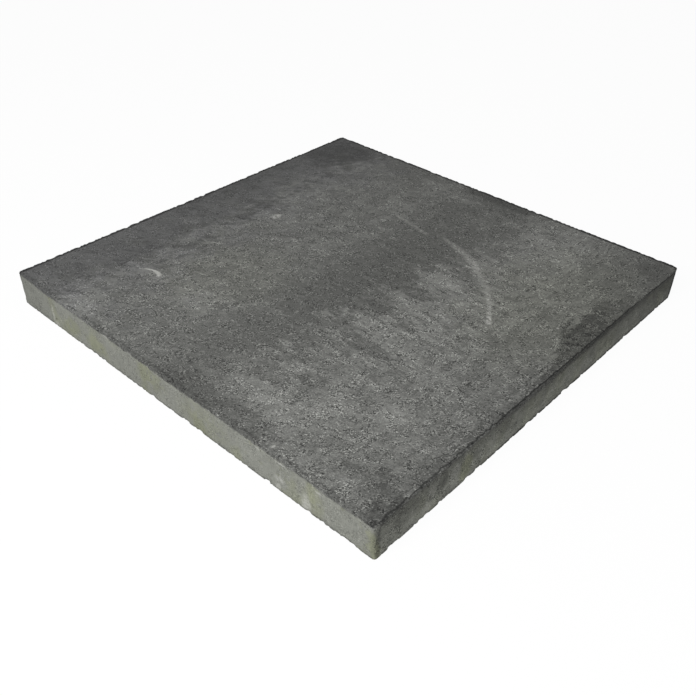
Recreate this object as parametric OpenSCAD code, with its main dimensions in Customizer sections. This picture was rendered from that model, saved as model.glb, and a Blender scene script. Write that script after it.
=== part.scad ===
/* [Slab] */
// Length of the slab along X
slab_length = 600; // [300:5:1000]
// Width of the slab along Y
slab_width = 600; // [300:5:1000]
// Thickness from the bed face to the walking face
slab_thickness = 47; // [35:1:100]

/* [Edges] */
// Radius of the four upright corners
corner_radius = 4; // [3:0.5:12]
// Radius of the eased arris round the walking face
top_arris = 1.5; // [0.5:0.25:2.75]
// Radius of the eased arris round the bed face
bed_arris = 1.25; // [0.5:0.25:2.75]

/* [Knocked edges] */
// Length of the broken arris, from the back right corner along the right side
broken_length = 85; // [20:1:140]
// Leg of the broken arris at its stepped end
broken_leg = 5; // [3:0.25:8]
// Leg of the broken arris where it runs out at the corner
broken_runout = 2.5; // [2:0.25:3]
// Leg of the facet knocked off the front top corner
knocked_corner = 9; // [6:0.5:15]

/* [Hidden] */
$fn = 64;
// How far a cutter reaches past the faces that it cuts
past = 5;
// How far the blocks that cut the knocked edges reach, well past the deepest of those cuts
reach = 4 * max(broken_leg, knocked_corner);
half_length = slab_length / 2;
half_width = slab_width / 2;
// Depth of a cut below a sharp edge, at right angles to its facet, for a leg along each face
function edge_depth(leg) = leg / sqrt(2);
function corner_depth(leg) = leg / sqrt(3);

// Plan of the slab: a rectangle with round corners
module plan() {
    inner_x = slab_length - 2 * corner_radius;
    inner_y = slab_width - 2 * corner_radius;
    square([slab_length, inner_y], center = true);
    square([inner_x, slab_width], center = true);
    for (x = [-1, 1], y = [-1, 1])
        translate([x * inner_x / 2, y * inner_y / 2]) circle(corner_radius);
}

// Section of the waste outside an eased arris, with the edge's sharp corner at the origin
module arris_waste(radius) {
    difference() {
        translate([-radius, -radius]) square(radius + past);
        translate([-radius, -radius]) circle(radius);
    }
}

// The waste all round the upper edge of the plan: four straight runs and four corners
module arris_ring(radius) {
    runs = [[half_length, slab_width, 0], [half_width, slab_length, 90],
            [half_length, slab_width, 180], [half_width, slab_length, 270]];
    for (run = runs)
        rotate(run[2]) translate([run[0], run[1] / 2 - corner_radius, 0]) rotate([90, 0, 0])
            linear_extrude(run[1] - 2 * corner_radius) arris_waste(radius);
    for (x = [-1, 1], y = [-1, 1])
        translate([x * (half_length - corner_radius), y * (half_width - corner_radius), 0])
            rotate(atan2(y, x) - 45) rotate_extrude(angle = 90)
                translate([corner_radius, 0]) arris_waste(radius);
}

// A sloping facet along the right side's upper arris, which runs out at the back right corner
module broken_arris() {
    deep = edge_depth(broken_leg);
    taper = atan((deep - edge_depth(broken_runout)) / broken_length);
    translate([half_length, half_width - broken_length, slab_thickness])
        rotate([0, 45, 0]) translate([0, 0, -deep]) rotate([taper, 0, 0])
            translate([-reach, 0, 0]) cube([2 * reach, broken_length + reach, reach]);
}

// A small facet across the front top corner, facing outwards and up
module knocked_facet() {
    lean = acos(1 / sqrt(3));
    translate([half_length, -half_width, slab_thickness])
        rotate([0, 0, -45]) rotate([0, lean, 0])
            translate([-reach, -reach, -corner_depth(knocked_corner)])
                cube([2 * reach, 2 * reach, reach]);
}

// One pressed concrete slab, resting on its bed face
module slab() {
    color([0.40, 0.40, 0.39])
        difference() {
            linear_extrude(slab_thickness) plan();
            translate([0, 0, slab_thickness]) arris_ring(top_arris);
            mirror([0, 0, 1]) arris_ring(bed_arris);
            broken_arris();
            knocked_facet();
        }
}

slab();
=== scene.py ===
"""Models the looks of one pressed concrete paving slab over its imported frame.

The walking face is a dark, cloudy grey mix, pressed together with a paler mix that shows on the sides.
Lengths in the mesh code are metres. Lengths in the concrete's pattern are millimetres on the slab,
with X and Y from its centre and Z from its bed face.
"""
import math
from collections import namedtuple

import bpy
from bpy.props import FloatProperty, FloatVectorProperty, IntProperty, PointerProperty
from mathutils import Matrix, Vector


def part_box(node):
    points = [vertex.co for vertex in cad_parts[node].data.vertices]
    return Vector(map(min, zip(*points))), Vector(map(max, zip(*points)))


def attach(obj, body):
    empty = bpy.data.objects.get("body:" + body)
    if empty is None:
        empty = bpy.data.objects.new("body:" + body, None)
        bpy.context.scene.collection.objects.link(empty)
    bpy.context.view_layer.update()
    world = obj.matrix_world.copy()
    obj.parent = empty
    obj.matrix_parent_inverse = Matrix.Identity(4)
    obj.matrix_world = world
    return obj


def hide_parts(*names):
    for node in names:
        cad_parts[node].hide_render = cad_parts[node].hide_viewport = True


bl_info = {
    "name": "Concrete paving slab",
    "version": (1, 0, 0),
    "blender": (4, 5, 0),
    "location": "3D View > Sidebar > Paving",
    "description": "Models a pressed concrete paving slab and a plain studio stage for it",
    "category": "Add Mesh",
}

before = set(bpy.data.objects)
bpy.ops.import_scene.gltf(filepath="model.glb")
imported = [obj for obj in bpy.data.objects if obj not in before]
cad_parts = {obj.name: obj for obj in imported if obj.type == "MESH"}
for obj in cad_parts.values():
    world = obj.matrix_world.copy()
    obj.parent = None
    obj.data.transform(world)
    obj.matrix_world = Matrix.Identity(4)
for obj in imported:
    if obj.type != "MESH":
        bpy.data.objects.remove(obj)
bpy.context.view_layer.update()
SLAB_NODE = "slab"
LOW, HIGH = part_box(SLAB_NODE)
HALF_LENGTH = (HIGH[0] - LOW[0]) / 2
HALF_WIDTH = (HIGH[1] - LOW[1]) / 2
THICKNESS = HIGH[2] - LOW[2]
MM = 0.001

# A soft-edged patch of the walking face: its centre, its reach along X and Y, and its gain in lightness
Patch = namedtuple("Patch", "x y wide long gain")
PATCHES = (
    Patch(-262, 245, 60, 70, -0.26),
    Patch(-286, 60, 28, 170, -0.10),
    Patch(-150, 285, 110, 50, -0.16),
    Patch(25, 291, 75, 15, -0.28),
    Patch(105, 95, 28, 20, -0.15),
    Patch(95, 15, 36, 13, -0.24),
    Patch(78, -42, 26, 13, -0.16),
    Patch(126, -45, 16, 9, -0.14),
    Patch(118, -112, 40, 17, -0.15),
    Patch(122, -192, 18, 13, -0.20),
    Patch(262, 240, 66, 100, -0.14),
    Patch(35, -292, 60, 24, -0.24),
    Patch(112, -286, 50, 18, -0.18),
    Patch(262, -262, 26, 22, -0.16),
    Patch(4, 253, 56, 15, 0.13),
    Patch(62, 243, 34, 14, 0.16),
    Patch(-70, 268, 60, 12, 0.08),
    Patch(165, 215, 50, 60, 0.10),
    Patch(130, 232, 26, 22, 0.10),
    Patch(90, 55, 44, 14, 0.20),
    Patch(85, -14, 30, 9, 0.16),
    Patch(105, -76, 50, 11, 0.10),
    Patch(165, -95, 46, 13, 0.07),
    Patch(155, -35, 34, 22, 0.08),
    Patch(112, -252, 34, 12, 0.06),
    Patch(150, -228, 22, 18, 0.12),
    Patch(166, -204, 26, 24, 0.19),
    Patch(222, -178, 24, 18, 0.20),
    Patch(-92, -172, 46, 52, 0.16),
    Patch(-178, -290, 42, 30, 0.22),
    Patch(-175, -182, 34, 16, 0.10),
    Patch(-178, 115, 24, 18, 0.08),
    Patch(-255, -288, 34, 18, 0.11),
    Patch(272, -261, 9, 8, -0.30),
    Patch(264, -244, 9, 8, -0.28),
    Patch(235, -260, 10, 7, -0.24),
    Patch(284, -287, 7, 6, -0.20),
    Patch(290, -272, 13, 28, -0.28),
    Patch(282, 274, 32, 42, -0.23),
    Patch(-212, -94, 20, 32, 0.28),
    Patch(-170, 212, 24, 30, -0.12),
    Patch(-70, 215, 24, 26, -0.09),
    Patch(40, 212, 54, 26, 0.10),
    Patch(50, -92, 18, 26, 0.13),
    Patch(190, -95, 14, 24, -0.13),
    Patch(92, -274, 18, 20, -0.12),
    Patch(250, -278, 14, 18, 0.12),
    Patch(112, 148, 20, 26, -0.10),
    Patch(-192, 88, 14, 28, 0.10),
    Patch(-216, 26, 26, 40, -0.15),
    Patch(233, 10, 17, 110, -0.12),
)

# Patches that reach less far than this have a flat middle
SMALL_PATCH = 20

# Small pale marks on the walking face: a dash, single pale grains and two faint streaks
MARKS = (
    Patch(162, -293, 1.8, 4, 0.50),
    Patch(-192, -297, 2.2, 2.2, 0.50),
    Patch(-155, -287, 2.2, 2.2, 0.50),
    Patch(258, 70, 2.2, 2.2, 0.50),
    Patch(-133, -107, 2.8, 20, 0.09),
    Patch(-103, -157, 4, 5, 0.09),
)

# Centres and radii of the two curved scuffs on the walking face, and the middle of the smear
ARC_CENTRE = (-20, -90)
ARC_RADIUS = 241
COMET_CENTRE = (-176, -204)
COMET_RADIUS = 24.6
SMEAR_CENTRE = (-174, 28)

# A pale spot on a side or an arris, where paler mix shows: its place, its reach along the side and up it,
# and its gain
Fleck = namedtuple("Fleck", "x y z along up gain")
FLECKS = (
    Fleck(-228, -300, 16, 4, 18, 0.40),
    Fleck(-222, -300, 3, 6, 7, 0.50),
    Fleck(-112, -300, 41, 9, 3, 0.55),
    Fleck(-66, -300, 41, 6, 3, 0.40),
    Fleck(13, -300, 45, 5, 3, 0.65),
    Fleck(33, -299, 47, 5, 4, 0.65),
    Fleck(-92, -299, 46, 4, 3, 0.50),
    Fleck(-36, -299, 46, 3, 3, 0.50),
    Fleck(-15, -300, 43, 4, 3, 0.50),
    Fleck(145, -300, 38, 5, 2, 0.55),
    Fleck(178, -300, 38, 9, 2, 0.55),
    Fleck(176, -300, 17, 9, 5, 0.50),
    Fleck(174, -300, 5, 5, 7, 0.50),
    Fleck(213, -300, 10, 8, 18, 0.55),
    Fleck(228, -300, 36, 7, 2, 0.50),
    Fleck(300, -226, 10, 10, 12, 0.42),
    Fleck(300, -181, 18, 11, 24, 0.30),
    Fleck(300, -217, 29, 6, 12, 0.16),
    Fleck(300, -120, 14, 12, 14, 0.12),
    Fleck(300, -40, 12, 16, 12, 0.10),
    Fleck(300, 60, 14, 14, 14, 0.10),
)

# Wide, faint clouds on the sides, whose gain is in lightness
CLOUDS = (
    Fleck(300, 265, 20, 70, 60, -0.20),
    Fleck(300, -202, 30, 10, 16, -0.24),
    Fleck(300, -252, 30, 26, 18, -0.16),
    Fleck(300, -85, 26, 22, 12, -0.10),
    # These two make the left side darker at its left end and lighter towards the front corner.
    Fleck(-285, -300, 20, 70, 70, -0.16),
    Fleck(190, -300, 20, 120, 70, 0.08),
)

# Yellow-green stains on the sides, and with a gain below 0 the greyer stretches between them
STAINS = (
    Fleck(-185, -300, 20, 24, 16, 0.9),
    Fleck(-130, -300, 18, 26, 16, 0.7),
    Fleck(-30, -300, 28, 34, 22, 0.8),
    Fleck(299, -300, 12, 6, 30, 0.7),
    Fleck(266, -300, 24, 36, 44, -1.2),
    Fleck(300, -296, 8, 8, 16, 0.7),
    Fleck(300, -164, 20, 14, 22, 0.8),
    Fleck(152, -300, 24, 50, 40, -0.8),
    Fleck(60, -300, 20, 54, 30, 0.5),
    Fleck(222, -300, 20, 20, 30, 0.6),
)

# Past this distance from the middle, a fleck lies on the side that faces that way
SIDE_PLACE = 295
# From this height up, a fleck is also a chip in the mesh
CHIP_HEIGHT = 35

# Grains of sand, pale grains and dark pores, each as a wire of the material
Sand = namedtuple("Sand", "grain pale pores")


class SlabShape(bpy.types.PropertyGroup):
    """Mesh density and the relief of the cast surfaces."""

    cells: IntProperty(
        name="Cells", description="Mesh cells along each side; a multiple of five",
        default=270, min=50, max=275)
    arris: FloatProperty(
        name="Arris", description="Radius of the eased edge round the walking face",
        default=1.5 * MM, unit="LENGTH")
    bed_arris: FloatProperty(
        name="Bed arris", description="Radius of the eased edge round the bed face",
        default=1.25 * MM, unit="LENGTH")
    grain_depth: FloatProperty(
        name="Grain depth", description="Depth of the sandy relief",
        default=0.5 * MM, unit="LENGTH")
    pit_depth: FloatProperty(
        name="Pit depth", description="Depth of the small open pores",
        default=0.7 * MM, unit="LENGTH")
    crumble_depth: FloatProperty(
        name="Crumble depth", description="How far the upper edge has crumbled",
        default=1.0 * MM, unit="LENGTH")
    lump_depth: FloatProperty(
        name="Lump depth", description="Depth of the hollows along the lumpy bed edge",
        default=1.3 * MM, unit="LENGTH")
    nick_depth: FloatProperty(
        name="Nick depth", description="Depth of the nicks along the back arrises",
        default=1.0 * MM, unit="LENGTH")
    knock_depth: FloatProperty(
        name="Knock depth", description="Depth of the chips at the flecked edges",
        default=1.6 * MM, unit="LENGTH")


class ConcreteFinish(bpy.types.PropertyGroup):
    """Colours of the two concrete mixes."""

    face_colour: FloatVectorProperty(
        name="Face mix", description="Colour of the walking face",
        subtype="COLOR", size=3, default=(0.141, 0.1425, 0.134))
    cool_colour: FloatVectorProperty(
        name="Cool face mix", description="Colour of the face along its dark left band",
        subtype="COLOR", size=3, default=(0.141, 0.1415, 0.140))
    warm_colour: FloatVectorProperty(
        name="Warm face mix", description="Colour of the face where it is faintly olive",
        subtype="COLOR", size=3, default=(0.142, 0.1445, 0.128))
    base_colour: FloatVectorProperty(
        name="Base mix", description="Colour of the paler mix on the sides",
        subtype="COLOR", size=3, default=(0.216, 0.2205, 0.197))
    olive_colour: FloatVectorProperty(
        name="Olive stain", description="Colour of the stained parts of the sides",
        subtype="COLOR", size=3, default=(0.213, 0.221, 0.162))
    pale_colour: FloatVectorProperty(
        name="Scuff", description="Colour of scuffs and lime bloom",
        subtype="COLOR", size=3, default=(0.50, 0.50, 0.47))
    roughness: FloatProperty(
        name="Roughness", description="Roughness of dry concrete",
        subtype="FACTOR", default=0.9, min=0, max=1)


class StageSetup(bpy.types.PropertyGroup):
    """Camera, lamps and floor."""

    camera_place: FloatVectorProperty(
        name="Camera", description="Place of the camera",
        subtype="TRANSLATION", size=3, default=(0.5942, -0.6702, 0.6029))
    camera_azimuth: FloatProperty(
        name="Azimuth", description="Turn of the view from +Y towards -X",
        subtype="ANGLE", default=math.radians(41.898))
    camera_dip: FloatProperty(
        name="Dip", description="Angle of the view below the horizon",
        subtype="ANGLE", default=math.radians(37.336))
    camera_roll: FloatProperty(
        name="Roll", description="Turn of the camera about its view",
        subtype="ANGLE", default=math.radians(1.254))
    lens: FloatProperty(
        name="Lens", description="Focal length in millimetres", default=42.31)
    key_power: FloatProperty(
        name="Key", description="Power of the large soft lamp at the front left",
        unit="POWER", default=49.0)
    sky_level: FloatProperty(
        name="Sky", description="Level of the even light from all round", default=0.345)
    floor_colour: FloatVectorProperty(
        name="Floor", description="Colour of the floor as the slab sees it",
        subtype="COLOR", size=3, default=(0.42, 0.42, 0.41))


class PavingSettings(bpy.types.PropertyGroup):
    """All settings of the slab and its stage."""

    shape: PointerProperty(type=SlabShape)
    finish: PointerProperty(type=ConcreteFinish)
    stage: PointerProperty(type=StageSetup)


class Wire:
    """A socket in a node tree. Python's operators on it add Math nodes."""

    def __init__(self, graph, socket):
        self.graph = graph
        self.socket = socket

    def __add__(self, other):
        return self.graph.math("ADD", self, other)

    def __sub__(self, other):
        return self.graph.math("SUBTRACT", self, other)

    def __rsub__(self, other):
        return self.graph.math("SUBTRACT", other, self)

    def __mul__(self, other):
        return self.graph.math("MULTIPLY", self, other)

    def __truediv__(self, other):
        return self.graph.math("DIVIDE", self, other)

    __radd__ = __add__
    __rmul__ = __mul__


class Graph:
    """A material's node tree, with the few kinds of node that concrete needs."""

    def __init__(self, tree):
        self.tree = tree

    def node(self, kind, settings=None, sockets=None, output=0):
        """Adds a node, sets it, fills or links its sockets and gives one of its outputs."""
        node = self.tree.nodes.new(kind)
        for name, value in (settings or {}).items():
            if name == "stops":
                ramp = node.color_ramp
                while len(ramp.elements) < len(value):
                    ramp.elements.new(1.0)
                for element, (position, level) in zip(ramp.elements, value):
                    element.position = position
                    element.color = (level, level, level, 1.0)
            else:
                setattr(node, name, value)
        for key, value in (sockets or {}).items():
            if isinstance(value, Wire):
                self.tree.links.new(value.socket, node.inputs[key])
            else:
                node.inputs[key].default_value = value
        return Wire(self, node.outputs[output]) if node.outputs else None

    def math(self, operation, *values):
        return self.node("ShaderNodeMath", {"operation": operation}, dict(enumerate(values)))

    def smooth(self, value, start, end):
        """0 at start, 1 at end, with soft shoulders. start may be the larger."""
        return self.node("ShaderNodeMapRange", {"interpolation_type": "SMOOTHSTEP"},
                         {0: value, 1: start, 2: end})

    def noise(self, vector, grain, detail=2.0, roughness=0.5):
        """Cloudy noise about 0, mostly from -0.5 to 0.5, with lumps of about the given size."""
        level = self.node("ShaderNodeTexNoise", {},
                          {"Vector": vector, "Scale": 1 / grain, "Detail": detail, "Roughness": roughness})
        return (level - 0.5) * 2

    def stretch(self, vector, factors):
        return self.node("ShaderNodeVectorMath", {"operation": "MULTIPLY"}, {0: vector, 1: factors})

    def mix(self, factor, first, second):
        """Blends two colours."""
        return self.node("ShaderNodeMix", {"data_type": "RGBA"}, {0: factor, 6: first, 7: second}, output=2)

    def scale(self, colour, factor):
        return self.node("ShaderNodeVectorMath", {"operation": "SCALE"}, {0: colour, "Scale": factor})

    def spot(self, offsets, reaches, flat=0.0):
        """1 at the middle of a round or oval patch, and over its flat share, and 0 from its edge outwards."""
        parts = [offset / reach for offset, reach in zip(offsets, reaches)]
        squares = [part * part for part in parts]
        return self.smooth(sum(squares[1:], squares[0]), 1.0, flat)


class Slab:
    """Coordinates of a point of the slab in its material, in millimetres.

    laid is the same place, turned and drawn out along the slab's diagonal, the way that the grain lies.
    depth is how far the point lies below the walking face, and right is 1 on the right side.
    """

    def __init__(self, graph):
        place = graph.node("ShaderNodeTexCoord", output="Object")
        self.at = graph.scale(place, 1 / MM)
        self.laid = graph.node("ShaderNodeMapping", {"vector_type": "TEXTURE"}, {
            "Vector": self.at, "Rotation": (0, 0, math.radians(42)), "Scale": (1.3, 1, 1)})
        self.x, self.y, self.z = (
            graph.node("ShaderNodeSeparateXYZ", {}, {0: self.at}, output=axis) for axis in "XYZ")
        self.depth = THICKNESS / MM - self.z
        self.right = graph.smooth(self.x, 296, 299)


def dark_rim(graph, slab, ragged):
    """How far a dark rim covers the walking face along its right edge."""
    width = 10 + 23 * graph.spot((slab.y - 105,), (85,)) + 4 * graph.spot((slab.y - 10,), (50,))
    rim = graph.smooth(HALF_LENGTH / MM - slab.x + ragged * 30 - width, 6, -4)
    along_rim = graph.smooth(slab.y, -60, 0) * graph.smooth(slab.y, 195, 120)
    rim = rim * (0.20 + 0.23 * along_rim + 0.09 * graph.spot((slab.y - 80,), (60,)))
    return rim * graph.smooth(slab.y, 215, 170)


def face_cover(graph, slab, ragged, flaky, rim):
    """How much lighter or darker its bands and patches make the walking face, and its left band alone."""
    drift = graph.noise(slab.at, 26, 5.0, 0.70)
    drift_across = graph.noise(graph.stretch(slab.at, (1, 1, -1)), 26, 5.0, 0.70)
    x = slab.x + drift * 18
    y = slab.y + drift_across * 18
    wavy = slab.x + drift * 38
    lobes = graph.noise(slab.at, 60, 2.0) * 40
    left_band = graph.smooth(wavy + lobes + ragged * 70, -185, -235)
    middle_band = graph.smooth(wavy, -62, 12) * graph.smooth(wavy - 0.12 * slab.y, 92, 34)
    light_side = graph.smooth(wavy, 65, 110) * graph.smooth(wavy, 278, 225)
    swoosh = graph.smooth(slab.y - 0.05 * slab.x + drift * 6, -233, -238) * graph.smooth(y, -282, -256)
    swoosh = swoosh * graph.smooth(x, 34, 62) * graph.smooth(x, 165, 130)
    cover = -0.28 * left_band
    cover = cover - 0.22 * middle_band * (1 - 0.4 * graph.smooth(y, -60, -220))
    cover = cover + 0.10 * light_side + 0.11 * swoosh - rim * (0.7 + 0.6 * graph.smooth(flaky, 0.15, -0.15))
    for patch in PATCHES:
        flat = 0.4 if min(patch.wide, patch.long) < SMALL_PATCH else 0.0
        cover = cover + patch.gain * graph.spot((x - patch.x, y - patch.y), (patch.wide, patch.long), flat)
    return cover, left_band


def face_tone(graph, slab):
    """Lightness of the walking face before its grain, the height of its flaky skin, and its dark rim."""
    torn = graph.noise(slab.laid, 20, 6.0, 0.74)
    flaky = graph.noise(slab.laid, 7, 4.0, 0.65)
    fingers = graph.noise(graph.stretch(slab.at, (0.24, 1.0, 1.0)), 8, 4.0, 0.65)
    combed = graph.noise(graph.stretch(slab.at, (1.0, 0.12, 1.0)), 6, 3.0, 0.60)
    strokes = graph.noise(graph.stretch(slab.laid, (0.45, 1.0, 1.0)), 8, 4.0, 0.65)
    in_fingers = graph.spot((slab.x - 110, slab.y + 10), (150, 240))
    in_combed = graph.smooth(slab.x, 120, 220)
    in_strokes = graph.smooth(slab.x + 0.15 * slab.y, -100, -190)
    ragged = torn * 0.85 + fingers * (0.15 + 0.55 * in_fingers) + combed * (0.2 + 0.4 * in_combed)
    ragged = ragged + strokes * (0.1 + 0.5 * in_strokes)
    rim = dark_rim(graph, slab, ragged)
    cover, left_band = face_cover(graph, slab, ragged, flaky, rim)

    worn = ragged * (1 - 0.2 * in_fingers) + cover * (0.7 + 0.5 * in_fingers) + 0.34 * left_band
    skin = graph.smooth(worn, -0.11, 0.12)
    flakes = graph.smooth(flaky + ragged * 0.4 + cover * 0.4 + 0.2 * left_band, -0.05, 0.055)
    streaky = fingers + torn * 0.6
    wisps = graph.smooth(streaky + cover * 0.3, 0.16, 0.23) * (0.04 + 0.16 * in_fingers)
    bare = graph.smooth(streaky + cover * 0.5, -0.16, -0.24) * in_fingers
    clouds = graph.noise(slab.laid, 34, 3.0, 0.6) * graph.smooth(slab.x, -170, -220)
    torn_tone = 0.85 + (0.20 + 0.09 * in_fingers) * skin - 0.045 * in_fingers + 0.10 * flakes
    tone = (1 + cover * (0.9 - 0.15 * in_fingers)) * torn_tone * (1 + 0.22 * clouds)
    tone = tone * (1 - (0.12 + 0.05 * graph.smooth(slab.y, 60, -60)) * left_band)
    return tone * (1 + wisps) * (1 - 0.14 * bare), skin + flakes * 0.7, rim


def sandy_grain(graph, slab):
    """Grains of sand about 0, a few of them strong, in grainy zones between smoother ones."""
    grain_size = 0.92
    sockets = {"Vector": slab.laid, "Scale": 1 / grain_size}
    distance = graph.node("ShaderNodeTexVoronoi", {}, sockets)
    colour = graph.node("ShaderNodeTexVoronoi", {}, sockets, output="Color")
    chance = graph.node("ShaderNodeSeparateColor", {}, {0: colour}) * 2 - 1
    grain = chance * (0.45 + 0.55 * chance * chance) * 0.74 + (0.42 - distance) * 0.6
    zone = graph.smooth(graph.noise(slab.laid, 9, 4.0, 0.65), -0.12, 0.13)
    front = graph.smooth(slab.x - slab.y, 100, 350)
    return grain * (0.22 + 0.11 * front + (0.92 - 0.06 * front) * zone)


def from_centre(graph, slab, centre, wobble):
    """Offsets from a point of the walking face, and the distance to it."""
    across = slab.x - centre[0] + wobble
    along = slab.y - centre[1] + wobble
    return across, along, graph.math("SQRT", across * across + along * along)


def scuffs(graph, slab):
    """Pale scuffs on the walking face: a long swung arc and its trail, a small comet, a smear and marks."""
    wobble = graph.noise(slab.at, 9, 3.0) * 2.4
    broken = graph.smooth(graph.noise(slab.at, 3.0, 2.0), -0.55, 0.30)
    across, along, radius = from_centre(graph, slab, ARC_CENTRE, wobble)
    angle = graph.math("ARCTAN2", along, across) / math.pi
    width = 5.5 + 3.5 * graph.smooth(angle, 0.24, 0.33) * graph.smooth(angle, 0.44, 0.36)
    line = graph.smooth(graph.math("ABSOLUTE", radius - ARC_RADIUS) / width, 1.0, 0.1)
    strength = graph.node("ShaderNodeValToRGB", {"stops": (
        (0.148, 0.0), (0.156, 1.0), (0.166, 0.85), (0.175, 0.42), (0.20, 0.42), (0.235, 0.20),
        (0.285, 0.18), (0.315, 0.36), (0.42, 0.32), (0.435, 0.0))}, {0: angle})
    trail = graph.math("ABSOLUTE", slab.y - 139.4 + 0.206 * slab.x + wobble)
    trail = graph.smooth(trail, 5, 0.5) * graph.smooth(graph.math("ABSOLUTE", slab.x + 20), 40, 26)
    arc = line * strength * broken + trail * broken * 0.26

    across, along, radius = from_centre(graph, slab, COMET_CENTRE, wobble * 0.4)
    width = 1.5 + 2.2 * graph.smooth(across, -12, 6)
    comet = graph.smooth(graph.math("ABSOLUTE", radius - COMET_RADIUS) / width, 1.0, 0.3)
    comet = comet * graph.smooth(along, 8, 14) * graph.smooth(across, -21, -11) * graph.smooth(across, 14, 10)
    smear = graph.spot((slab.x - SMEAR_CENTRE[0] + wobble, slab.y - SMEAR_CENTRE[1] + wobble), (7, 11))
    pale = arc + comet * 0.75 + smear * broken * 0.65
    for mark in MARKS:
        pale = pale + mark.gain * graph.spot((slab.x - mark.x, slab.y - mark.y), (mark.wide, mark.long))
    return pale


def specks(graph, slab, spacing, share, reach):
    """Small round specks scattered at about the given spacing; share of the cells hold one."""
    sockets = {"Vector": slab.laid, "Scale": 1 / spacing}
    distance = graph.node("ShaderNodeTexVoronoi", {}, sockets)
    colour = graph.node("ShaderNodeTexVoronoi", {}, sockets, output="Color")
    chance = graph.node("ShaderNodeSeparateColor", {}, {0: colour})
    picked = graph.smooth(chance, 1 - share, 1 - share * 0.6)
    return graph.smooth(distance, reach / spacing, reach / spacing * 0.4) * picked


def droop(graph, slab):
    """How deep the dark face mix hangs over the sides at a point, in millimetres below the face."""
    swing = graph.noise(slab.at, 45, 2.0)
    ragged = graph.noise(slab.at, 6, 5.0, 0.72)
    bare = graph.spot((slab.x - 212, slab.y + 300), (16, 12))
    bare_end = graph.spot((slab.x - 286, slab.y + 300), (12, 8))
    thin_end = graph.smooth(slab.x, -225, -295)
    thin_front = slab.right * graph.smooth(slab.y, -50, -140)
    hang = 5.7 + swing * 3 + ragged * 4.0 + 1.2 * slab.right
    return hang * (1 - 0.35 * bare) * (1 - 0.3 * bare_end) * (1 - 0.6 * thin_end) * (1 - 0.6 * thin_front)


def side_spot(graph, slab, fleck, shift, rise):
    """1 at the middle of a spot on a side, and 0 from its edge outwards."""
    into_side = 5
    if abs(fleck.y) > SIDE_PLACE:
        reaches = (fleck.along, into_side, fleck.up)
    else:
        reaches = (into_side, fleck.along, fleck.up)
    offsets = (slab.x - fleck.x + shift, slab.y - fleck.y + shift, slab.z - fleck.z + rise)
    return graph.spot(offsets, reaches, 0.3 if fleck.x > SIDE_PLACE else 0.0)


def side_tone(graph, slab):
    """Lightness of the sides, with clouds, drag marks, a gradient down the right side and painted shade
    towards its far end, and how far a pale bloom covers them.
    """
    right, depth = slab.right, slab.depth
    drag = graph.noise(graph.stretch(slab.at, (1.0, 1.0, 0.10)), 2.6, 2.0) * (1 - 0.6 * right)
    scraped = graph.noise(graph.stretch(slab.at, (1.0, 0.8, 0.4)), 7, 4.0, 0.65)
    cloud = graph.noise(slab.at, 26, 4.0, 0.6)
    mottled = graph.noise(graph.stretch(slab.at, (1.0, 0.7, 1.0)), 15, 5.0, 0.65)
    blotch = graph.smooth(mottled, -0.16, 0.16) - 0.5
    striped = graph.smooth(slab.x, 110, 180)
    tone = (1 + (0.10 + 0.10 * striped) * drag) * (1 + 0.18 * cloud) * (1 + (0.12 + 0.16 * right) * scraped)
    tone = tone * (1 + (0.04 + 0.20 * right) * blotch)
    # On the right side the tone is lighter than on the left and darker towards the top.
    smear = right * graph.smooth(depth + cloud * 10, 44, 2)
    # The right side is painted darker towards its far end: painted shade where the lamp's light falls off.
    far_end_shade = right * graph.smooth(slab.y, -160, 260)
    tone = tone * (1 + 0.41 * right - 0.60 * smear) * (1 - 0.22 * far_end_shade)
    for wide in CLOUDS:
        tone = tone + wide.gain * side_spot(graph, slab, wide, drag * 2, cloud * 6)
    bloom = specks(graph, slab, 11, 0.35, 2.2) * graph.smooth(depth, 13, 8) * graph.smooth(depth, 1, 3) * 0.5
    shift, rise = drag * 1.5 + scraped * 3, scraped * 4
    for fleck in FLECKS:
        bloom = bloom + fleck.gain * side_spot(graph, slab, fleck, shift, rise)
    return tone, bloom * graph.smooth(graph.noise(slab.at, 2.6, 2.0), -0.45, 0.15) * 1.25


def side_dirt_and_shade(graph, slab):
    """How much darker the sides' lower edges and uprights are: painted contact shade along the bed edge,
    partly grime, painted shade down the rounded front upright, and darker strips at the left and far
    uprights.
    """
    # Along the bed edge, painted contact shade, partly grime, stronger on the right side towards the front.
    bottom = 0.28 * graph.smooth(slab.z, 4.8, 2.2)
    lower_right = slab.right * graph.smooth(slab.y, -190, -80)
    bottom = bottom + 0.5 * lower_right * graph.smooth(slab.z, 5.2, 3.2)
    far_upright = 0.92 * graph.smooth(slab.x, 295, 299) * graph.smooth(slab.y, 289, 295)
    left_upright = 0.35 * graph.smooth(slab.x, -295, -299) * graph.smooth(slab.y, -295, -299)
    # Down the rounded front upright, painted shade where the lit side turns into the shaded one.
    round_front = slab.x + slab.y
    front_upright_shade = 0.46 * graph.smooth(round_front, -7, 2) * graph.smooth(round_front, 9, 4)
    uprights = graph.math("MAXIMUM", graph.math("MAXIMUM", far_upright, left_upright), front_upright_shade)
    return graph.math("MAXIMUM", bottom, uprights)


def side_stain(graph, slab):
    """How far yellow-green stains cover the sides."""
    stain = graph.smooth(graph.noise(graph.stretch(slab.at, (1, 1, 0.6)), 34, 2.0), -0.05, 0.35)
    stain = stain * (0.8 - 0.5 * slab.right)
    blur = graph.noise(slab.at, 12, 3.0, 0.6) * 16
    for patch in STAINS:
        spread = blur * min(1.0, patch.along / 30)
        stain = stain + patch.gain * side_spot(graph, slab, patch, spread, spread)
    return graph.math("MINIMUM", graph.math("MAXIMUM", stain, 0.0), 1.0)


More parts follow.
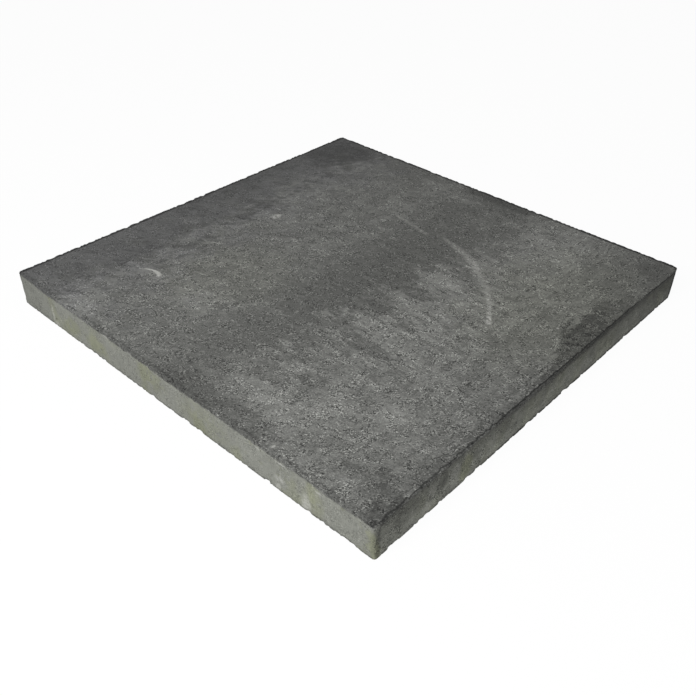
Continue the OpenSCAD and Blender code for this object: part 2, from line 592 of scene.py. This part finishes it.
def dark_arris(graph, slab, hue):
    """How much darker the arris round the walking face is: a crisp dark line at the back; painted shade of
    the crumbs in front and in the crease of the knocked front corner; on the right a painted shadow line
    under the arris, partly dark face mix, with painted shade below it.
    """
    half, depth = HALF_LENGTH / MM, slab.depth
    from_back = graph.math("MINIMUM", half + slab.x, half - slab.y)
    back = graph.smooth(from_back + hue * 2, 7.5, 4.5) * graph.smooth(depth, 7, 3)
    back = back * (1.4 + 0.3 * graph.smooth(slab.x, 60, 240))
    crumbs = graph.noise(slab.at, 4.5, 3.0, 0.65)
    # Along the front arris, painted shade of the crumbs.
    front = graph.smooth(graph.math("ABSOLUTE", half + slab.y + depth - 2 + crumbs * 5), 4.5, 0.5)
    front = front * (0.35 + 0.65 * graph.smooth(crumbs, 0.2, -0.2)) * 0.85

    notches = graph.noise(slab.at, 9, 3.0, 0.6)
    fall = 2.2 * graph.smooth(slab.y, -230, 110) - 1.8 + 2.9 * graph.smooth(slab.y, 208, 216)
    fall = fall + 1.4 * graph.smooth(slab.y, 245, 280) - crumbs * 0.8 - notches * 3
    past_fall = depth + slab.x - half - fall
    # Under the right arris and its broken step, a painted shadow line, partly dark face mix.
    line = graph.smooth(graph.math("ABSOLUTE", past_fall), 1.7, 0.5) * graph.smooth(slab.x, 291, 294)
    gap = graph.spot((slab.y - 199,), (14,))
    line = line * (1.2 + 0.4 * graph.smooth(slab.y, -200, -20)) * (1 - 0.85 * gap)
    shade = slab.right * graph.smooth(slab.y, -60, 120) * graph.smooth(depth, 14, 4) * 0.6
    shade = shade * graph.smooth(past_fall, -2.5, 0.5)
    # In the crease of the knocked front corner, painted shade.
    crease = graph.smooth(graph.math("ABSOLUTE", slab.x - slab.y - 591.5), 3.5, 0.8)
    crease = crease * graph.smooth(depth, 7, 4) * 0.6
    dark_line_and_shade = graph.math("MAXIMUM", graph.math("MAXIMUM", back, front), graph.math("MAXIMUM", line, shade))
    return graph.math("MAXIMUM", dark_line_and_shade, crease)


def face_mix(graph, slab, finish, sand, hue):
    """Colour of the dark mix on the walking face, with painted light on the facet of the broken right arris,
    and the height of its flaky skin.
    """
    tone, skin, rim = face_tone(graph, slab)
    calm = 1 - 0.22 * graph.smooth(slab.y - slab.x, 150, 450) - 0.30 * graph.smooth(slab.x, -130, -210)
    calm = calm - 0.08 * graph.smooth(slab.x - slab.y, 200, 400)
    level = graph.math("MAXIMUM", 1 + sand.grain * (calm + 1.2 * rim) * 0.79, 0.2)
    level = graph.math("MINIMUM", level, 1.5)
    tone = tone * graph.math("POWER", level, 2.2)
    tone = tone * (1 + 0.07 * sand.pale) * (1 - 0.25 * sand.pores)
    cool = graph.smooth(slab.x + hue * 160, -100, -280)
    warm = graph.spot((slab.x - 235 + hue * 60, slab.y - 110), (120, 190)) * 0.8
    warm = warm + graph.spot((slab.x + 110, slab.y + 110 + hue * 60), (110, 100)) * 0.5
    face = graph.mix(warm, (*finish.face_colour, 1), (*finish.warm_colour, 1))
    face = graph.mix(cool, face, (*finish.cool_colour, 1))
    face = graph.scale(face, tone)
    face = graph.mix(scuffs(graph, slab), face, (*finish.pale_colour, 1))
    # The facet of the broken right arris is painted lighter: painted light where it faces away from the lamp.
    facet = graph.smooth(slab.y, 211, 216) * graph.smooth(slab.x, 294, 297) * graph.smooth(slab.depth, 4.5, 3)
    return graph.scale(face, 1 + 0.12 * facet), skin


def side_mix(graph, slab, finish, sand):
    """Colour of the paler mix on the sides, with its stains, bloom, grime and painted shade."""
    level, bloom = side_tone(graph, slab)
    side = graph.mix(side_stain(graph, slab), (*finish.base_colour, 1), (*finish.olive_colour, 1))
    coarse = 0.55 + 0.35 * slab.right + 0.45 * slab.right * graph.smooth(slab.y, -40, -180)
    side = graph.scale(side, level * (1 + coarse * sand.grain) * (1 - 0.25 * sand.pores))
    side = graph.mix(bloom * 0.8, side, (*finish.pale_colour, 1))
    return graph.scale(side, 1 - side_dirt_and_shade(graph, slab))


def concrete(finish):
    """The slab's material: a dark face mix that hangs over a paler base mix, with grain and pores."""
    material = bpy.data.materials.new("pressed_concrete")
    material.use_nodes = True
    tree = material.node_tree
    tree.nodes.clear()
    graph = Graph(tree)
    slab = Slab(graph)
    sand = Sand(
        grain=sandy_grain(graph, slab),
        pale=specks(graph, slab, 6.0, 0.25, 1.5),
        pores=specks(graph, slab, 6.5, 0.5, 1.7))
    hue = graph.noise(slab.at, 30, 3.0, 0.6)
    face, skin = face_mix(graph, slab, finish, sand, hue)
    side = side_mix(graph, slab, finish, sand)
    below_hang = slab.depth - droop(graph, slab)
    covered = graph.smooth(below_hang, 1.4 + 3.5 * slab.right, -1.2 - 1.5 * slab.right)
    colour = graph.mix(covered, side, face)
    colour = graph.scale(colour, 1 - 0.55 * dark_arris(graph, slab, hue))

    height = sand.grain * 0.7 + skin * (0.7 + 0.6 * covered) + sand.pale * 0.3 - sand.pores * 0.7
    bump = graph.node("ShaderNodeBump", {}, {"Strength": 0.8, "Distance": 0.35 * MM, "Height": height})
    rough = finish.roughness - 0.06 * sand.pale + 0.05 * sand.grain
    shader = graph.node("ShaderNodeBsdfPrincipled", {}, {
        "Base Color": colour, "Roughness": rough, "Normal": bump, "Specular IOR Level": 0.3})
    graph.node("ShaderNodeOutputMaterial", {}, {"Surface": shader})
    return material


def side_section(shape):
    """Rings from the walking face to the bed face, each as its inset from the sides and its height."""
    arris, bed = shape.arris, shape.bed_arris
    arris_rings, side_rings, bed_rings = 3, 13, 2
    for ring in range(1, arris_rings + 1):
        turn = math.pi / 2 * ring / arris_rings
        yield arris * (1 - math.sin(turn)), THICKNESS - arris * (1 - math.cos(turn))
    for ring in range(1, side_rings + 1):
        share = ring / side_rings
        crowded = share - math.sin(2 * math.pi * share) / 9
        yield 0.0, THICKNESS - arris - (THICKNESS - arris - bed) * crowded
    for ring in range(1, bed_rings + 1):
        turn = math.pi / 2 * ring / bed_rings
        yield bed * (1 - math.cos(turn)), bed * (1 - math.sin(turn))
    bed_rim = 8 * MM
    yield bed_rim, 0.0


def add_blank(shape):
    """A closed, finely divided block: a grid, its rim drawn out, down and under, and a coarser bed grid."""
    bpy.ops.object.select_all(action="DESELECT")
    size = 2 * (HALF_LENGTH - shape.arris)
    bpy.ops.mesh.primitive_grid_add(x_subdivisions=shape.cells, y_subdivisions=shape.cells, size=size)
    blank = bpy.context.object
    blank.name = "pressed_slab"
    bpy.ops.object.mode_set(mode="EDIT")
    bpy.ops.mesh.select_mode(type="EDGE")
    long, wide = HALF_LENGTH - shape.arris, HALF_WIDTH - shape.arris
    bpy.ops.transform.resize(value=(1, wide / long, 1), center_override=(0, 0, 0))
    bpy.ops.transform.translate(value=(0, 0, THICKNESS))
    bpy.ops.mesh.select_all(action="DESELECT")
    bpy.ops.mesh.select_non_manifold()
    height = THICKNESS
    for inset, level in side_section(shape):
        bpy.ops.mesh.extrude_edges_move(TRANSFORM_OT_translate={"value": (0, 0, level - height)})
        new_long, new_wide = HALF_LENGTH - inset, HALF_WIDTH - inset
        bpy.ops.transform.resize(value=(new_long / long, new_wide / wide, 1), center_override=(0, 0, 0))
        long, wide, height = new_long, new_wide, level
    bpy.ops.mesh.select_all(action="DESELECT")
    bed_cells = shape.cells // 5
    bed_frame = 10 * MM
    bpy.ops.mesh.primitive_grid_add(x_subdivisions=bed_cells, y_subdivisions=bed_cells, size=2.0)
    bpy.ops.transform.resize(value=(long - bed_frame, wide - bed_frame, 1), center_override=(0, 0, 0))
    bpy.ops.mesh.flip_normals()
    bpy.ops.mesh.select_all(action="DESELECT")
    bpy.ops.mesh.select_non_manifold()
    bpy.ops.mesh.bridge_edge_loops()
    bpy.ops.mesh.select_all(action="SELECT")
    bpy.ops.mesh.normals_make_consistent(inside=False)
    bpy.ops.object.mode_set(mode="OBJECT")
    return blank


def weigh(piece, name, weight):
    """A vertex group whose weights follow a function of place."""
    group = piece.vertex_groups.new(name=name)
    for vertex in piece.data.vertices:
        value = weight(vertex.co)
        if value > 0:
            group.add([vertex.index], min(value, 1.0), "REPLACE")


def apply_modifier(piece, kind, **settings):
    modifier = piece.modifiers.new(kind.lower(), kind)
    for name, value in settings.items():
        setattr(modifier, name, value)
    bpy.ops.object.modifier_apply(modifier=modifier.name)


def wear_away(piece, texture, depth, group):
    """Sinks the surface by up to the given depth where the texture is dark, never outwards."""
    apply_modifier(piece, "DISPLACE", texture=texture, strength=depth, mid_level=1.0,
                   texture_coords="LOCAL", vertex_group=group)


def relief(name, kind, size, dark, light):
    """A texture whose levels from dark to light run from 0, sunk, to 1, left as it is."""
    texture = bpy.data.textures.new(name, kind)
    texture.noise_scale = size
    texture.use_color_ramp = True
    ends = texture.color_ramp.elements
    ends[0].position, ends[0].color = dark, (0, 0, 0, 1)
    ends[1].position, ends[1].color = light, (1, 1, 1, 1)
    return texture


def side_inset(place):
    """How far a point lies in from the nearest side."""
    return min(HALF_LENGTH - abs(place.x), HALF_WIDTH - abs(place.y))


def back_inset(place):
    """How far a point lies in from the nearer of the two sides at the back."""
    return min(HALF_LENGTH + place.x, HALF_WIDTH - place.y)


def near_edge(inset, drop, reach):
    """1 on an edge, falling to 0 at the reach."""
    return 1 - math.hypot(inset, drop) / reach


def near_fleck(place):
    """1 at the middle of a chipped fleck, falling to 0 at its edge."""
    best = 0.0
    for fleck in FLECKS:
        if fleck.z >= CHIP_HEIGHT:
            offset = math.dist(place, (fleck.x * MM, fleck.y * MM, fleck.z * MM))
            best = max(best, 1 - offset / (fleck.along * MM))
    return best


def wear_down(slab, shape):
    """Gives the slab its relief: sandy faces, pores, a crumbled arris, a lumpy bed edge, nicks and chips."""
    arris_reach, bed_reach, full_from = 5 * MM, 6 * MM, 8 * MM
    weigh(slab, "arris", lambda place: near_edge(side_inset(place), THICKNESS - place.z, arris_reach))
    weigh(slab, "bed_edge", lambda place: near_edge(side_inset(place), place.z, bed_reach))
    weigh(slab, "back_arris", lambda place: near_edge(back_inset(place), THICKNESS - place.z, arris_reach))
    weigh(slab, "flecks", near_fleck)
    weigh(slab, "shown", lambda place: place.z / full_from)
    layers = (
        ("grain", "CLOUDS", 4, 0.2, 0.55, shape.grain_depth, "shown"),
        ("pores", "VORONOI", 9, 0.0, 0.25, shape.pit_depth, "shown"),
        ("crumbled_arris", "CLOUDS", 5, 0.2, 0.45, shape.crumble_depth, "arris"),
        ("lumpy_edge", "CLOUDS", 11, 0.36, 0.46, shape.lump_depth, "bed_edge"),
        ("nicked_edge", "CLOUDS", 4, 0.36, 0.44, shape.lump_depth * 0.6, "bed_edge"),
        ("nicked_back", "CLOUDS", 6, 0.38, 0.46, shape.nick_depth, "back_arris"),
    )
    for name, kind, size, dark, light, depth, group in layers:
        wear_away(slab, relief(name, kind, size * MM, dark, light), depth, group)
    apply_modifier(slab, "DISPLACE", strength=-shape.knock_depth, mid_level=0.0, vertex_group="flecks")
    slab.vertex_groups.clear()


class PAVING_OT_slab(bpy.types.Operator):
    """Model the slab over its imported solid, with its relief and its concrete"""

    bl_idname = "paving.add_slab"
    bl_label = "Add slab"

    def execute(self, context):
        settings = context.scene.paving
        slab = add_blank(settings.shape)
        apply_modifier(slab, "SHRINKWRAP", target=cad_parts[SLAB_NODE],
                       wrap_method="NEAREST_SURFACEPOINT")
        wear_down(slab, settings.shape)
        bpy.ops.object.shade_smooth()
        slab.data.materials.clear()
        slab.data.materials.append(concrete(settings.finish))
        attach(slab, "root")
        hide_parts(SLAB_NODE)
        return {"FINISHED"}


def seen_directly(graph):
    """1 for camera, glossy and transmission rays."""
    camera = graph.node("ShaderNodeLightPath", output="Is Camera Ray")
    glossy = graph.node("ShaderNodeLightPath", output="Is Glossy Ray")
    through = graph.node("ShaderNodeLightPath", output="Is Transmission Ray")
    return graph.math("MAXIMUM", graph.math("MAXIMUM", camera, glossy), through)


def stage_material(colour):
    """White to the camera, apart from part of the slab's shadow, and plain grey to the light."""
    material = bpy.data.materials.new("stage_floor")
    material.use_nodes = True
    tree = material.node_tree
    tree.nodes.clear()
    graph = Graph(tree)
    white_share = 0.95
    lit = graph.node("ShaderNodeBsdfDiffuse", {}, {"Color": (*colour, 1)})
    bright = graph.node("ShaderNodeBsdfDiffuse", {}, {"Color": (0.92, 0.92, 0.92, 1)})
    white = graph.node("ShaderNodeEmission", {}, {"Strength": 1.0})
    shown = graph.node("ShaderNodeMixShader", {}, {0: white_share, 1: bright, 2: white})
    surface = graph.node("ShaderNodeMixShader", {}, {0: seen_directly(graph), 1: lit, 2: shown})
    graph.node("ShaderNodeOutputMaterial", {}, {"Surface": surface})
    return material


def add_lamp(name, place, aim, size, power):
    """A round soft lamp that faces the aim."""
    lamp = bpy.data.lights.new(name, "AREA")
    lamp.shape = "DISK"
    lamp.size = size
    lamp.energy = power
    holder = bpy.data.objects.new(name, lamp)
    bpy.context.scene.collection.objects.link(holder)
    holder.location = place
    holder.rotation_euler = (Vector(place) - aim).to_track_quat("Z", "Y").to_euler()


class PAVING_OT_stage(bpy.types.Operator):
    """Set the camera, the soft lamp, the even sky and the pale floor"""

    bl_idname = "paving.add_stage"
    bl_label = "Add stage"

    def execute(self, context):
        setup = context.scene.paving.stage
        scene = context.scene
        scene.view_settings.view_transform = "Standard"

        camera = bpy.data.objects.new("camera", bpy.data.cameras.new("camera"))
        scene.collection.objects.link(camera)
        camera.data.lens = setup.lens
        turn = (Matrix.Rotation(setup.camera_azimuth, 4, "Z")
                @ Matrix.Rotation(math.pi / 2 - setup.camera_dip, 4, "X")
                @ Matrix.Rotation(setup.camera_roll, 4, "Z"))
        camera.matrix_world = Matrix.Translation(setup.camera_place) @ turn
        scene.camera = camera

        bpy.ops.object.select_all(action="DESELECT")
        floor_size, floor_drop = 12, 0.3 * MM
        bpy.ops.mesh.primitive_plane_add(size=floor_size, location=(0, 0, -floor_drop))
        floor = context.object
        floor.name = "floor"
        floor.data.materials.append(stage_material(setup.floor_colour))

        key_place, key_size = (0.35, -1.6, 1.50), 1.3
        add_lamp("key", key_place, Vector((0, 0, THICKNESS)), key_size, setup.key_power)

        world = bpy.data.worlds.new("studio")
        scene.world = world
        world.use_nodes = True
        world.node_tree.nodes.clear()
        graph = Graph(world.node_tree)
        even = graph.node("ShaderNodeBackground", {}, {"Strength": setup.sky_level})
        white = graph.node("ShaderNodeBackground", {}, {"Color": (1, 1, 1, 1), "Strength": 1.0})
        surface = graph.node("ShaderNodeMixShader", {}, {0: seen_directly(graph), 1: even, 2: white})
        graph.node("ShaderNodeOutputWorld", {}, {"Surface": surface})
        return {"FINISHED"}


class PAVING_PT_slab(bpy.types.Panel):
    """Settings of the slab and its stage"""

    bl_label = "Paving slab"
    bl_space_type = "VIEW_3D"
    bl_region_type = "UI"
    bl_category = "Paving"

    def draw(self, context):
        settings = context.scene.paving
        for group in (settings.shape, settings.finish, settings.stage):
            box = self.layout.box()
            for name in group.__annotations__:
                box.prop(group, name)
        self.layout.operator(PAVING_OT_slab.bl_idname)
        self.layout.operator(PAVING_OT_stage.bl_idname)


CLASSES = (SlabShape, ConcreteFinish, StageSetup, PavingSettings,
           PAVING_OT_slab, PAVING_OT_stage, PAVING_PT_slab)


def register():
    for item in CLASSES:
        bpy.utils.register_class(item)
    bpy.types.Scene.paving = PointerProperty(type=PavingSettings)


def unregister():
    del bpy.types.Scene.paving
    for item in reversed(CLASSES):
        bpy.utils.unregister_class(item)


def main():
    register()
    bpy.ops.paving.add_stage()
    bpy.ops.paving.add_slab()


if __name__ == "__main__":
    main()
